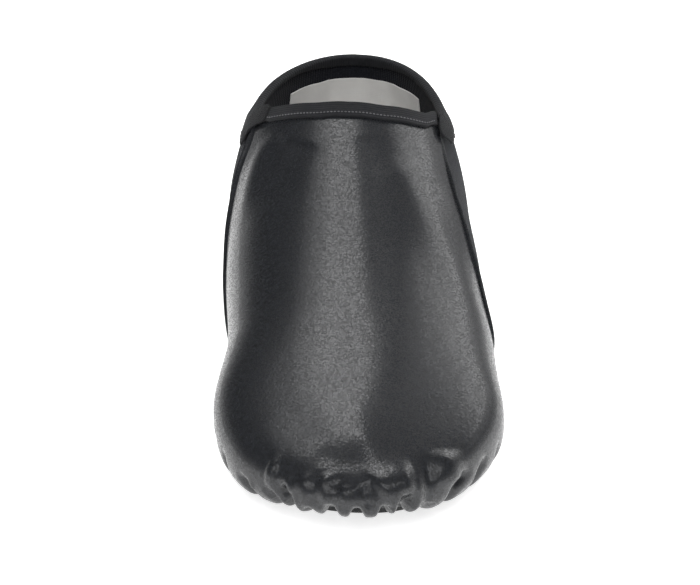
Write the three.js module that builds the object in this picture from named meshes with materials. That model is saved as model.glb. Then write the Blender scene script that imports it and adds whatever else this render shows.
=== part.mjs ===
// A slip-on jazz shoe for the right foot: a soft leather vamp gathered round the toe, elastic sides,
// leather round the heel, taped edges and a split sole. The toe points to -Y, the inner side of the
// foot is +X and the shoe stands on z = 0.
import * as THREE from 'three';

// Driving dimensions
const shoeLength = 248;      // toe to heel of the form
const ballWidth = 87;        // widest place of the forefoot
const instepHeight = 76;     // floor to the top of the form at the instep
const elasticWall = 1.4;     // elastic side and its lining
const vampLeather = 0.8;     // leather laid over that wall in front
const quarterLeather = 0.8;  // leather laid over it round the heel
const clearance = 0.3;       // between pieces that lie on each other
const forefootSole = 2.8;    // thickness of the front pad
const heelSole = 8.8;        // thickness of the heel pad
const insoleThickness = 2;
const tapeThickness = 0.8;   // folded tape round the throat and the collar
const tapeWidth = 7.5;       // how far the tape reaches down from the edge
const flangeWidth = 9;       // edge of the upper turned in under the foot
const edgeSlope = 0.7;       // width of the step at the rear edge of the vamp leather
const toeRadius = 58;        // length of the rounded toe in plan
const heelRadius = 48;       // length of the rounded heel in plan
const toeSpine = 26;         // where the middle line of the form starts behind the toe tip
const heelSpine = 32;        // where it ends in front of the heel
const frontPadEnd = 108;     // rear end of the front pad, from the toe
const heelPadLength = 62;    // length of the heel pad, from the heel
const padBow = 7;            // how far the straight ends of the pads are rounded
const padBend = 21;          // and the length of their long edges that this bends
const cupTurn = -0.66;       // turn of the section where the cup of the heel pad ends
const quarterTop = 54.56;    // how far the heel quarter reaches forward from the heel at the collar
const quarterFoot = 69.44;   // and at the sole
const throatCorner = 0.5;    // turn of the section where the throat edge meets the collar
const toePuff = 2.2;         // how far the leather swells between the gathers of the toe

// Sections of the form. at is a share of shoeLength; centre, width and inset are shares of ballWidth;
// crown and girth are heights over the floor, and rise is that of the sole, all shares of
// instepHeight; power is the squareness of the section.
const sections = [
  { at: 0.00, centre: 0.085, width: 0.780, crown: 0.31, girth: 0.17, rise: 0.092, inset: 0.10, power: 2.40 },
  { at: 0.08, centre: 0.052, width: 0.905, crown: 0.37, girth: 0.19, rise: 0.028, inset: 0.10, power: 2.35 },
  { at: 0.16, centre: 0.054, width: 0.930, crown: 0.44, girth: 0.22, rise: 0.000, inset: 0.10, power: 2.30 },
  { at: 0.28, centre: 0.053, width: 0.925, crown: 0.56, girth: 0.27, rise: 0.000, inset: 0.09, power: 2.20 },
  { at: 0.36, centre: 0.037, width: 0.940, crown: 0.66, girth: 0.30, rise: 0.000, inset: 0.09, power: 2.15 },
  { at: 0.48, centre: 0.010, width: 0.975, crown: 0.85, girth: 0.35, rise: 0.045, inset: 0.10, power: 2.10 },
  { at: 0.60, centre: -0.022, width: 0.965, crown: 1.06, girth: 0.39, rise: 0.055, inset: 0.10, power: 2.05 },
  { at: 0.75, centre: -0.038, width: 0.885, crown: 1.36, girth: 0.40, rise: 0.000, inset: 0.08, power: 2.00 },
  { at: 0.85, centre: -0.040, width: 0.800, crown: 1.50, girth: 0.38, rise: 0.000, inset: 0.065, power: 2.00 },
  { at: 1.00, centre: -0.030, width: 0.710, crown: 1.56, girth: 0.36, rise: 0.000, inset: 0.06, power: 2.00 },
];

// Height of the collar edge over the floor, a share of instepHeight, along the length.
const collarLine = [
  { at: 0.60, height: 0.960 },
  { at: 0.64, height: 0.905 },
  { at: 0.70, height: 0.820 },
  { at: 0.80, height: 0.770 },
  { at: 0.90, height: 0.800 },
  { at: 1.00, height: 0.830 },
];

// Rear edge of the vamp: from the middle of the throat (turn 1) over its corner (turn 0.5) and down the
// side to the sole (turn -1). turn is the place round the section; outer and inner are shares of
// shoeLength on the two sides of the foot.
const vampEdge = [
  { turn: -1.00, outer: 0.360, inner: 0.330 },
  { turn: 0.00, outer: 0.460, inner: 0.335 },
  { turn: 0.13, outer: 0.525, inner: 0.355 },
  { turn: 0.25, outer: 0.560, inner: 0.412 },
  { turn: 0.34, outer: 0.590, inner: 0.452 },
  { turn: 0.43, outer: 0.612, inner: 0.525 },
  { turn: 0.50, outer: 0.640, inner: 0.640 },
  { turn: 0.60, outer: 0.620, inner: 0.620 },
  { turn: 0.74, outer: 0.601, inner: 0.601 },
  { turn: 0.87, outer: 0.590, inner: 0.590 },
  { turn: 1.00, outer: 0.587, inner: 0.587 },
];

// Gathers of the leather round the toe. at runs from -1 on the outer side over 0 at the tip to 1 on the
// inner side, spread is the half width of a valley on that scale, depth is a share of the puff between
// the valleys, and top is the turn of the section where the valley fades out.
const gathers = [
  { at: -0.93, spread: 0.045, depth: 0.55, top: 0.15 },
  { at: -0.78, spread: 0.035, depth: 0.70, top: 0.10 },
  { at: -0.64, spread: 0.035, depth: 0.75, top: 0.20 },
  { at: -0.50, spread: 0.045, depth: 1.00, top: 0.55 },
  { at: -0.34, spread: 0.030, depth: 0.65, top: -0.05 },
  { at: -0.21, spread: 0.035, depth: 0.95, top: 0.05 },
  { at: -0.10, spread: 0.035, depth: 0.95, top: 0.00 },
  { at: 0.02, spread: 0.040, depth: 1.00, top: 0.10 },
  { at: 0.17, spread: 0.045, depth: 1.00, top: 0.15 },
  { at: 0.33, spread: 0.035, depth: 0.80, top: 0.50 },
  { at: 0.50, spread: 0.040, depth: 0.80, top: 0.10 },
  { at: 0.68, spread: 0.040, depth: 0.60, top: 0.15 },
  { at: 0.88, spread: 0.050, depth: 0.50, top: 0.10 },
];

// Where the leather swells: it starts at the sole over foot, fades over the shoulder of the toe and at the
// ends of the row of gathers, and each valley fades at its top but keeps its least depth above the
// shoulder. Heights are turns of the section and ends are on the scale of at.
const swell = {
  foot: 0.40,
  shoulder: { from: -0.10, fade: 0.75 },
  ends: { from: 0.85, fade: 0.40 },
  valley: { fade: 0.45, least: 0.35 },
};

// Shares of the way round the form where the rounded toe ends and the rounded heel starts, and how
// square the toe, the heel and the lower edge are
const toeEnd = 0.36;
const heelStart = 0.76;
const toePower = 2.3;
const heelPower = 2.15;
const bottomPower = 2.3;

const heelPadStart = shoeLength - heelPadLength;

const lerp = (a, b, k) => a + (b - a) * k;
const clamp = (x, low, high) => Math.min(high, Math.max(low, x));
const soft = (x) => clamp(x, 0, 1) ** 2 * (3 - 2 * clamp(x, 0, 1));
const steps = (from, to, count) => Array.from({ length: count + 1 }, (_, i) => lerp(from, to, i / count));

// A smooth curve through one column of a table that never swings past its rows.
function smoothCurve(rows, name, key = 'at') {
  const x = rows.map((row) => row[key]);
  const y = rows.map((row) => row[name]);
  const last = x.length - 1;
  const rise = x.slice(1).map((value, i) => (y[i + 1] - y[i]) / (value - x[i]));
  const slopes = x.map((_, i) => {
    const before = rise[Math.max(0, i - 1)];
    const after = rise[Math.min(last - 1, i)];
    return before * after <= 0 ? 0 : (2 * before * after) / (before + after);
  });
  return (share) => {
    const at = clamp(share, x[0], x[last]);
    let i = 0;
    while (i < last - 1 && at > x[i + 1]) i += 1;
    const h = x[i + 1] - x[i];
    const t = (at - x[i]) / h;
    const ends = y[i] + (y[i + 1] - y[i]) * t * t * (3 - 2 * t);
    return ends + h * t * (1 - t) * (slopes[i] * (1 - t) - slopes[i + 1] * t);
  };
}

const sectionCurves = Object.fromEntries(Object.keys(sections[0]).slice(1).map((name) =>
  [name, smoothCurve(sections, name)]));
const section = (name, distance) => sectionCurves[name](distance / shoeLength);
const collarHeight = smoothCurve(collarLine, 'height');
const outerEdge = smoothCurve(vampEdge, 'outer', 'turn');
const innerEdge = smoothCurve(vampEdge, 'inner', 'turn');

// A station is a ray from the middle line to the rim. round runs from 0 at the toe tip to 1 at the heel;
// reach is the share of the half width that the rim has there.
function station(round) {
  if (round < toeEnd) {
    const angle = (round / toeEnd) * Math.PI / 2;
    const fall = Math.max(0, Math.cos(angle));
    return {
      rim: toeRadius * (1 - fall ** (2 / toePower)),
      spine: toeRadius - (toeRadius - toeSpine) * fall,
      reach: Math.sin(angle) ** (2 / toePower),
    };
  }
  if (round > heelStart) {
    const angle = ((1 - round) / (1 - heelStart)) * Math.PI / 2;
    const fall = Math.max(0, Math.cos(angle));
    return {
      rim: shoeLength - heelRadius * (1 - fall ** (2 / heelPower)),
      spine: shoeLength - heelRadius + (heelRadius - heelSpine) * fall,
      reach: Math.max(0, Math.sin(angle)) ** (2 / heelPower),
    };
  }
  const share = (round - toeEnd) / (heelStart - toeEnd);
  const distance = lerp(toeRadius, shoeLength - heelRadius, share);
  return { rim: distance, spine: distance, reach: 1 };
}

// The station whose rim lies at a distance from the toe, on the straight sides of the form.
const roundPerLength = (heelStart - toeEnd) / (shoeLength - heelRadius - toeRadius);
const roundAt = (distance) => toeEnd + (distance - toeRadius) * roundPerLength;

function plan(round, side) {
  const { rim, spine, reach } = station(round);
  const half = side * reach * ballWidth * section('width', rim) / 2;
  return {
    rim: new THREE.Vector2(ballWidth * section('centre', rim) + half, rim),
    spine: new THREE.Vector2(ballWidth * section('centre', spine), spine),
  };
}

// Thickness of the sole that the form stands on, from the front pad to the heel pad
const soleUnder = (distance) => lerp(forefootSole, heelSole,
  soft((distance - frontPadEnd) / (heelPadStart - frontPadEnd)));
const soleFloor = (distance) => instepHeight * section('rise', distance);
const baseHeight = (distance) => soleFloor(distance) + soleUnder(distance) + clearance;

// A point of the smooth form. turn runs round the section: -1 at the edge of the underside, 0 at the
// widest place and 1 on the crown.
function formPoint(round, side, turn) {
  const { rim, spine } = plan(round, side);
  const girth = instepHeight * section('girth', rim.y);
  const angle = Math.abs(turn) * Math.PI / 2;
  const across = Math.max(0, Math.cos(angle));
  const along = new THREE.Vector2().subVectors(rim, spine);
  if (turn >= 0) {
    const power = 2 / section('power', rim.y);
    const foot = spine.clone().addScaledVector(along, across ** power);
    const crown = instepHeight * section('crown', foot.y);
    return new THREE.Vector3(foot.x, foot.y, lerp(girth, crown, Math.sin(angle) ** power));
  }
  const power = 2 / bottomPower;
  const inset = ballWidth * section('inset', rim.y) * (1 - across ** power);
  const foot = rim.clone().addScaledVector(along.normalize(), -inset);
  return new THREE.Vector3(foot.x, foot.y, lerp(girth, baseHeight(foot.y), Math.sin(angle) ** power));
}

// The underside: share 1 is the edge of the form there and share 0 its middle line.
function underPoint(round, side, share) {
  const edge = formPoint(round, side, -1);
  const { spine } = plan(round, side);
  const x = lerp(spine.x, edge.x, share);
  const y = lerp(spine.y, edge.y, share);
  return new THREE.Vector3(x, y, baseHeight(y));
}

function sideNormal(round, side, turn) {
  const step = 0.002;
  const ahead = formPoint(Math.min(1, round + step), side, turn);
  const behind = formPoint(Math.max(0, round - step), side, turn);
  const above = formPoint(round, side, Math.min(1, turn + step));
  const below = formPoint(round, side, Math.max(-1, turn - step));
  return ahead.sub(behind).cross(above.sub(below)).multiplyScalar(side).normalize();
}

// The outward normal of the form; both sides share it on the toe, heel and crown lines.
function formNormal(round, side, turn) {
  const normal = sideNormal(round, side, turn);
  if (round === 0 || round === 1 || turn === 1) normal.add(sideNormal(round, -side, turn)).normalize();
  return normal;
}

// How far the gathered leather stands out round the toe.
function puff(round, side, turn) {
  const place = side * round / toeEnd;
  const { foot, shoulder, ends, valley } = swell;
  const low = soft((turn + 1) / foot);
  const high = 1 - soft((turn - shoulder.from) / shoulder.fade);
  const aside = 1 - soft((Math.abs(place) - ends.from) / ends.fade);
  const valleys = gathers.reduce((sum, fold) => {
    const near = Math.exp(-(((place - fold.at) / fold.spread) ** 2));
    return sum + fold.depth * near * soft((fold.top - turn) / valley.fade);
  }, 0);
  return toePuff * low * aside * (high - Math.min(1, valleys) * Math.max(high, valley.least));
}

// A point at an offset from the form, with the gathers.
function skin(round, side, turn, offset) {
  const lift = offset + puff(round, side, turn);
  return formPoint(round, side, turn).addScaledVector(formNormal(round, side, turn), lift);
}

// A closed solid between two skins that have the same cells. Vertices that fall on each other are
// joined, and a rim closes every free edge.
function shell(outer, inner, cells) {
  const index = new Map();
  const joined = outer.map((point, i) => {
    const key = [...point.toArray(), ...inner[i].toArray()].map((value) => value.toFixed(3)).join(' ');
    if (!index.has(key)) index.set(key, index.size);
    return index.get(key);
  });
  const count = index.size;
  const positions = new Float32Array(count * 6);
  joined.forEach((id, i) => {
    outer[i].toArray(positions, id * 3);
    inner[i].toArray(positions, (count + id) * 3);
  });
  const distance = (a, b) => Math.hypot(...[0, 1, 2].map((k) => positions[a * 3 + k] - positions[b * 3 + k]));
  const triangles = [];
  const edges = new Map();
  for (const cell of cells) {
    const [a, b, c, d] = cell.map((i) => joined[i]);
    const halves = distance(a, c) <= distance(b, d) ? [[a, b, c], [a, c, d]] : [[a, b, d], [b, c, d]];
    for (const [p, q, r] of halves) {
      triangles.push(p, q, r, count + p, count + r, count + q);
      for (const [from, to] of [[p, q], [q, r], [r, p]]) {
        if (edges.has(`${to} ${from}`)) edges.delete(`${to} ${from}`);
        else edges.set(`${from} ${to}`, [from, to]);
      }
    }
  }
  for (const [from, to] of edges.values()) {
    triangles.push(to, from, count + from, to, count + from, count + to);
  }
  const geometry = new THREE.BufferGeometry();
  geometry.setAttribute('position', new THREE.BufferAttribute(positions, 3));
  geometry.setIndex(triangles);
  return geometry;
}

// Cells of a grid of points, row by row, where keep says which of them exist. The rows run across the
// columns clockwise as seen from outside, or the other way where turned is true.
function gridCells(rows, columns, { keep = () => true, turned = false } = {}) {
  const cells = [];
  for (let i = 0; i < rows - 1; i += 1) {
    for (let j = 0; j < columns - 1; j += 1) {
      const at = i * columns + j;
      const cell = [at + 1, at + columns + 1, at + columns, at];
      if (keep(i, j)) cells.push(turned ? cell.reverse() : cell);
    }
  }
  return cells;
}

// Place round the form of the rear edge of the vamp at a turn of the section.
function edgeRound(side, turn) {
  return roundAt(shoeLength * (side < 0 ? outerEdge(turn) : innerEdge(turn)));
}

// Turn of the section where the form reaches the collar edge, found by halving.
const halvings = 30;
function collarTurn(round, side) {
  let low = 0;
  let high = 1;
  for (let i = 0; i < halvings; i += 1) {
    const turn = (low + high) / 2;
    const point = formPoint(round, side, turn);
    if (point.z > instepHeight * collarHeight(point.y / shoeLength)) high = turn;
    else low = turn;
  }
  return low;
}

// Stations of the upper: rounded toe, vamp, the step behind it, elastic side and rounded heel. leather is
// 1 where the vamp leather lies.
const fanEnd = 0.30;
const backStart = 0.74;
const stationsOfUpper = [
  ...steps(0, 1, 31).map((share) => ({ part: 'toe', share, leather: 1 })),
  ...steps(0, 1, 13).slice(1).map((share) => ({ part: 'vamp', share, leather: 1 })),
  ...steps(0, 1, 9).map((share) => ({ part: 'side', share, leather: 0 })),
  ...steps(0, 1, 12).slice(1).map((share) => ({ part: 'heel', share, leather: 0 })),
];

const roofShares = [0.2, 0.4, 0.6, 0.8, 1];

// Rows of the upper from the middle of the underside to the crown. Rows above the girth are shares of
// the way to the collar, and roof rows lie on the vamp only.
const rowsOfUpper = [
  ...[0, 0.5, 1].map((share) => ({ part: 'under', share })),
  ...[-1, -0.72, -0.48, -0.24, 0].map((turn) => ({ part: 'low', turn })),
  ...[0.26, 0.5, 0.68, 0.86, 1].map((share) => ({ part: 'side', share })),
  ...roofShares.map((share) => ({ part: 'roof', share })),
];
const flangeRow = rowsOfUpper.filter((row) => row.part === 'under').length - 1;
const collarRow = rowsOfUpper.length - roofShares.length - 1;

// Place round the form of a station behind the vamp, on the collar edge.
function collarRound(stationRow, side) {
  const start = edgeRound(side, throatCorner) + edgeSlope * roundPerLength;
  return stationRow.part === 'side' ? lerp(start, backStart, stationRow.share)
    : lerp(backStart, 1, stationRow.share);
}

// Place and turn of one vertex of the upper.
function upperPlace(stationRow, row, side) {
  let turn = row.turn ?? -1;
  if (row.part === 'side') turn = throatCorner * row.share;
  if (row.part === 'roof') turn = lerp(throatCorner, 1, row.share);
  const middle = lerp(edgeRound(-side, turn), edgeRound(side, turn), 0.5);
  const edge = row.part === 'under' ? lerp(middle, edgeRound(side, turn), row.share) : edgeRound(side, turn);
  if (stationRow.part === 'toe') return { round: fanEnd * stationRow.share, turn };
  if (stationRow.part === 'vamp') return { round: lerp(fanEnd, edge, stationRow.share), turn };
  const start = edge + edgeSlope * roundPerLength;
  const round = stationRow.part === 'side' ? lerp(start, backStart, stationRow.share)
    : lerp(backStart, 1, stationRow.share);
  if (row.part !== 'side') return { round, turn };
  return { round, turn: row.share * collarTurn(collarRound(stationRow, side), side) };
}

// Both skins of the upper at one vertex: [outer, inner].
function upperVertex(stationRow, row, side) {
  const { round, turn } = upperPlace(stationRow, row, side);
  const outside = stationRow.leather ? 0 : -vampLeather;
  const inside = -vampLeather - elasticWall;
  if (row.part !== 'under') return [skin(round, side, turn, outside), skin(round, side, turn, inside)];
  const edge = formPoint(round, side, -1);
  const { spine } = plan(round, side);
  const half = Math.hypot(edge.x - spine.x, edge.y - spine.y);
  const share = row.share * (1 - flangeWidth / half);
  const point = underPoint(round, side, share);
  return [point.clone().setZ(point.z - outside), point.clone().setZ(point.z - inside)];
}

// The arch between the two pads is closed underneath; under the pads the upper is open.
function underArch(i) {
  return [i, i + 1].every((k) => {
    const { rim } = station(upperPlace(stationsOfUpper[k], rowsOfUpper[0], 1).round);
    return rim > frontPadEnd - flangeWidth - padBow && rim < heelPadStart + flangeWidth + padBow;
  });
}

function upper() {
  const across = [...rowsOfUpper.map((row) => ({ row, side: -1 })),
    ...rowsOfUpper.slice(0, -1).reverse().map((row) => ({ row, side: 1 }))];
  const skins = stationsOfUpper.flatMap((stationRow) => across.map(({ row, side }) =>
    upperVertex(stationRow, row, side)));
  const last = across.length - 1;
  const vampStations = stationsOfUpper.filter((row) => row.leather).length;
  const arch = stationsOfUpper.slice(0, -1).map((_, i) => underArch(i));
  const keep = (i, j) => {
    const row = Math.min(j, last - 1 - j);
    if (row < flangeRow) return arch[i];
    return row < collarRow || i < vampStations - 1;
  };
  return shell(skins.map((pair) => pair[0]), skins.map((pair) => pair[1]),
    gridCells(stationsOfUpper.length, across.length, { keep }));
}

// Length on the skin of a small step round the form or round the section
function scaleAt(round, side, turn, way) {
  const step = 0.004;
  const from = formPoint(round, side, turn);
  const to = way === 'round' ? formPoint(round - step, side, turn) : formPoint(round, side, turn - step);
  return from.distanceTo(to) / step;
}

// Folded tape over an edge of the wall. Each place gives a point of the skin for a reach past the edge
// and an offset; the fold is half an ellipse round the edge, with a leg down each face.
function tape(places, wall, turned = false) {
  const legs = [1, 0.5];
  const turns = steps(0, Math.PI, 3);
  const profile = (lift) => [
    ...legs.map((share) => [-tapeWidth * share, lift]),
    ...turns.map((angle) => [lift * Math.sin(angle), -wall / 2 + (wall / 2 + lift) * Math.cos(angle)]),
    ...[...legs].reverse().map((share) => [-tapeWidth * share, -wall - lift]),
  ];
  const outer = profile(clearance + tapeThickness);
  const inner = profile(clearance);
  const skins = places.flatMap((place) => outer.map((_, k) => [place(...outer[k]), place(...inner[k])]));
  return shell(skins.map((pair) => pair[0]), skins.map((pair) => pair[1]),
    gridCells(places.length, outer.length, { turned }));
}

// Tape over the throat edge, from corner to corner, clear of the collar tape.
function throatTape() {
  const spare = tapeThickness + 2 * clearance;
  const place = (side, turn) => (reach, offset) => {
    const edge = edgeRound(side, turn);
    return skin(edge + reach / scaleAt(edge, side, turn, 'round'), side, turn, offset);
  };
  const corner = (side) => {
    const edge = edgeRound(side, throatCorner);
    return throatCorner + spare / scaleAt(edge, side, throatCorner, 'turn');
  };
  const turns = roofShares.map((share) => lerp(throatCorner, 1, share));
  const outerSide = [corner(-1), ...turns].map((turn) => place(-1, turn));
  const innerSide = [corner(1), ...turns].reverse().slice(1).map((turn) => place(1, turn));
  return tape([...outerSide, ...innerSide], elasticWall + vampLeather, true);
}

// Tape over the collar edge, from one corner of the throat round the heel to the other.
function collarTape() {
  const place = (side, round) => {
    const edge = collarTurn(round, side);
    return (reach, offset) => skin(round, side, edge + reach / scaleAt(round, side, edge, 'turn'),
      offset - vampLeather);
  };
  const behindVamp = stationsOfUpper.filter((row) => row.leather === 0);
  const rounds = (side) => behindVamp.map((row, i) =>
    collarRound(row, side) + (i === 0 ? clearance * roundPerLength : 0));
  const outerSide = rounds(-1).map((round) => place(-1, round));
  const innerSide = rounds(1).reverse().slice(1).map((round) => place(1, round));
  return tape([...outerSide, ...innerSide], elasticWall);
}

// Leather laid round the heel, below the collar tape. Its front edge leans from the collar to the sole,
// and its rows are those of the upper, so that it follows the wall behind it.
function heelQuarter() {
  const rows = rowsOfUpper.filter((row) => row.turn > cupTurn || (row.part === 'side' && row.share < 1));
  const low = clearance - vampLeather;
  const fold = (side, lean, round) => rows.map((row, i) => {
    const share = i / (rows.length - 1);
    const front = roundAt(shoeLength - lerp(quarterFoot, quarterTop, share));
    const place = lean === null ? round : lerp(front, backStart, lean);
    const edge = collarTurn(place, side);
    const top = edge - (tapeWidth + clearance) / scaleAt(place, side, edge, 'turn');
    const turn = row.part === 'low' ? row.turn : Math.min(edge * row.share, top);
    return [skin(place, side, turn, low + quarterLeather), skin(place, side, turn, low)];
  });
  const heel = stationsOfUpper.filter((row) => row.part === 'heel');
  const half = (side) => [...[0, 0.5].map((lean) => fold(side, lean)),
    ...heel.map((row) => fold(side, null, lerp(backStart, 1, row.share)))];
  const strips = [...half(-1), ...half(1).reverse().slice(1)];
  return shell(strips.flat().map((pair) => pair[0]), strips.flat().map((pair) => pair[1]),
    gridCells(strips.length, rows.length));
}

// A plate under or in the form. rounds gives the stations, place a point of the plan for a station, a
// side and a share across; top and bottom are its heights at a distance from the toe.
function plate(rounds, place, across, top, bottom) {
  const half = steps(0, 1, across);
  const line = [...half.map((share) => ({ side: -1, share })).reverse(),
    ...half.slice(1).map((share) => ({ side: 1, share }))];
  const points = rounds.flatMap((round) => line.map(({ side, share }) => place(round, side, share)));
  const upperSkin = points.map((point) => new THREE.Vector3(point.x, point.y, top(point.y)));
  const lowerSkin = points.map((point) => new THREE.Vector3(point.x, point.y, bottom(point.y)));
  return shell(upperSkin, lowerSkin, gridCells(rounds.length, line.length));
}

// A pad of the sole: its long edge follows the edge of the form, and its straight end is bowed.
function padPlace(end, bow) {
  return (round, side, share) => {
    const point = underPoint(round, side, share);
    const near = soft(1 - Math.abs(station(round).rim - end) / padBend);
    return point.setY(point.y + bow * near * share * share);
  };
}

function forefootPad() {
  const end = roundAt(frontPadEnd);
  const rounds = [...steps(0, toeEnd, 20), ...steps(toeEnd, end, 6).slice(1)];
  const top = (distance) => soleFloor(distance) + forefootSole;
  return plate(rounds, padPlace(frontPadEnd, -padBow), 2, top, soleFloor);
}

// The heel pad cups the form a little way up its side, below the quarter.
function heelPad() {
  const start = roundAt(heelPadStart);
  const rounds = [...steps(start, backStart, 3), ...steps(backStart, 1, 12).slice(1)];
  const place = padPlace(heelPadStart, padBow);
  const fold = (round, side) => [
    ...[0, 0.5, 1].map((share) => place(round, side, share)),
    ...steps(-1, cupTurn, 2).slice(1).map((turn) => {
      const edge = place(round, side, 1);
      const bow = edge.y - underPoint(round, side, 1).y;
      const point = formPoint(round, side, turn);
      return point.setY(point.y + bow);
    }),
  ].map((point) => point.setZ(point.z - clearance));
  const strips = rounds.map((round) => [...fold(round, -1).reverse(), ...fold(round, 1).slice(1)]);
  const top = strips.flat();
  const bottom = top.map((point) => new THREE.Vector3(point.x, point.y, 0));
  return shell(top, bottom, gridCells(strips.length, strips[0].length));
}

// The insole lies on the turned-in edge of the upper.
function insole() {
  const rounds = [...steps(0, toeEnd, 12), ...steps(toeEnd, heelStart, 10).slice(1),
    ...steps(heelStart, 1, 8).slice(1)];
  const bottom = (distance) => baseHeight(distance) + vampLeather + elasticWall + clearance;
  const top = (distance) => bottom(distance) + insoleThickness;
  return plate(rounds, underPoint, 2, top, bottom);
}

const leather = { color: 0x232427, roughness: 0.42, metalness: 0 };
const ribbed = { color: 0x15161a, roughness: 0.9, metalness: 0 };
const rubber = { color: 0x18181a, roughness: 0.8, metalness: 0 };
const foam = { color: 0x8f8e88, roughness: 0.95, metalness: 0 };

const pieces = [
  ['upper', upper(), leather],
  ['throat_tape', throatTape(), ribbed],
  ['collar_tape', collarTape(), ribbed],
  ['heel_quarter', heelQuarter(), leather],
  ['insole', insole(), foam],
  ['forefoot_pad', forefootPad(), rubber],
  ['heel_pad', heelPad(), rubber],
];

const shoe = new THREE.Group();
for (const [name, geometry, finish] of pieces) {
  geometry.computeVertexNormals();
  const mesh = new THREE.Mesh(geometry, new THREE.MeshStandardMaterial(finish));
  mesh.name = name;
  shoe.add(mesh);
}

// The origin is under the middle of the shoe, on the floor.
const box = new THREE.Box3().setFromObject(shoe);
const middle = box.getCenter(new THREE.Vector3());
shoe.position.set(-middle.x, -middle.y, -box.min.z);

export default shoe;
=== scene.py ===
import math

import bpy
import numpy as np
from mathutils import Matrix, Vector


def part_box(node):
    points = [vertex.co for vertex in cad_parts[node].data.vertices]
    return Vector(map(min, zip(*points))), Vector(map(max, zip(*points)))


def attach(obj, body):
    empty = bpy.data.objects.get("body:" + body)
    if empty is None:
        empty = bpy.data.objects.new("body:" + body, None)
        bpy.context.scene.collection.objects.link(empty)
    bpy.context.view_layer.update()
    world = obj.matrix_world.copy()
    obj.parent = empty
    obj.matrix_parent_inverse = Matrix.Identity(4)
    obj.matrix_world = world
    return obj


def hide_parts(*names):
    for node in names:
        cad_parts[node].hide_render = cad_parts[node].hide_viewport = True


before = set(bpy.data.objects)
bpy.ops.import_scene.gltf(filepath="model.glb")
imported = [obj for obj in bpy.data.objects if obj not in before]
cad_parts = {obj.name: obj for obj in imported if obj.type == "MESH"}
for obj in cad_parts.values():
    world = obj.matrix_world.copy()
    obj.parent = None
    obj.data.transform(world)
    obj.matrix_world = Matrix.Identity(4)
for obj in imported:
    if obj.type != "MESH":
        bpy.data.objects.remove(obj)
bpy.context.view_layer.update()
scene = bpy.context.scene
mm = 0.001
print("frame loaded:", len(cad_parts), "nodes")

# The foot form, in millimetres from the toe, as the solids have it
last = {
    "length": 248.0, "ballWidth": 87.0, "instepHeight": 76.0,
    "toeRadius": 58.0, "heelRadius": 48.0, "toeSpine": 26.0, "heelSpine": 32.0,
    "toeEnd": 0.36, "heelStart": 0.76,                # shares of the way round the form
    "toePower": 2.3, "heelPower": 2.15, "bottomPower": 2.3,
    "frontPadEnd": 108.0, "heelPadStart": 186.0, "padBow": 7.0, "padBend": 21.0, "cupTurn": -0.66,
    "forefootSole": 2.8, "heelSole": 8.8, "clearance": 0.3,
    "wall": 1.4, "leather": 0.8, "flange": 9.0, "insole": 2.0,
    "throatCorner": 0.5, "backStart": 0.74, "quarterTop": 54.56, "quarterFoot": 69.44,
}

sectionColumns = ("at", "centre", "width", "crown", "girth", "rise", "inset", "power")
sectionRows = (
    (0.00, 0.085, 0.780, 0.31, 0.17, 0.092, 0.100, 2.40),
    (0.08, 0.052, 0.905, 0.37, 0.19, 0.028, 0.100, 2.35),
    (0.16, 0.054, 0.930, 0.44, 0.22, 0.000, 0.100, 2.30),
    (0.28, 0.053, 0.925, 0.56, 0.27, 0.000, 0.090, 2.20),
    (0.36, 0.037, 0.940, 0.66, 0.30, 0.000, 0.090, 2.15),
    (0.48, 0.010, 0.975, 0.85, 0.35, 0.045, 0.100, 2.10),
    (0.60, -0.022, 0.965, 1.06, 0.39, 0.055, 0.100, 2.05),
    (0.75, -0.038, 0.885, 1.36, 0.40, 0.000, 0.080, 2.00),
    (0.85, -0.040, 0.800, 1.50, 0.38, 0.000, 0.065, 2.00),
    (1.00, -0.030, 0.710, 1.56, 0.36, 0.000, 0.060, 2.00),
)

collarColumns = ("at", "height")
collarRows = ((0.60, 0.960), (0.64, 0.905), (0.70, 0.828), (0.80, 0.785), (0.90, 0.805), (1.00, 0.825))

# Rear edge of the vamp: turn of the section, and shares of the length on the outer and inner side
edgeColumns = ("turn", "outer", "inner")
edgeRows = (
    (-1.00, 0.360, 0.330), (0.00, 0.460, 0.335), (0.13, 0.525, 0.355), (0.25, 0.560, 0.412),
    (0.34, 0.590, 0.452), (0.43, 0.612, 0.525), (0.50, 0.638, 0.636), (0.60, 0.617, 0.611),
    (0.74, 0.598, 0.594), (0.87, 0.587, 0.585), (1.00, 0.584, 0.584),
)


def softStep(x):
    k = np.clip(x, 0, 1)
    return k * k * (3 - 2 * k)


def mix(a, b, k):
    return a + (b - a) * k


def smoothCurve(rows, columns, name):
    x = np.array([row[0] for row in rows])
    y = np.array([row[columns.index(name)] for row in rows])
    rise = np.diff(y) / np.diff(x)
    before, after = np.append(rise[0], rise), np.append(rise, rise[-1])
    same = before * after > 0
    slope = np.where(same, 2 * before * after / np.where(same, before + after, 1), 0)

    def at(share):
        s = np.clip(share, x[0], x[-1])
        i = np.clip(np.searchsorted(x, s) - 1, 0, len(x) - 2)
        h = x[i + 1] - x[i]
        t = (s - x[i]) / h
        ends = y[i] + (y[i + 1] - y[i]) * t * t * (3 - 2 * t)
        return ends + h * t * (1 - t) * (slope[i] * (1 - t) - slope[i + 1] * t)
    return at


section = {name: smoothCurve(sectionRows, sectionColumns, name) for name in sectionColumns[1:]}
collarHeight = smoothCurve(collarRows, collarColumns, "height")
outerEdge = smoothCurve(edgeRows, edgeColumns, "outer")
innerEdge = smoothCurve(edgeRows, edgeColumns, "inner")
straight = last["length"] - last["heelRadius"] - last["toeRadius"]
ringPerLength = (last["heelStart"] - last["toeEnd"]) / straight


def ringAt(distance):
    return last["toeEnd"] + (distance - last["toeRadius"]) * ringPerLength


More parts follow.
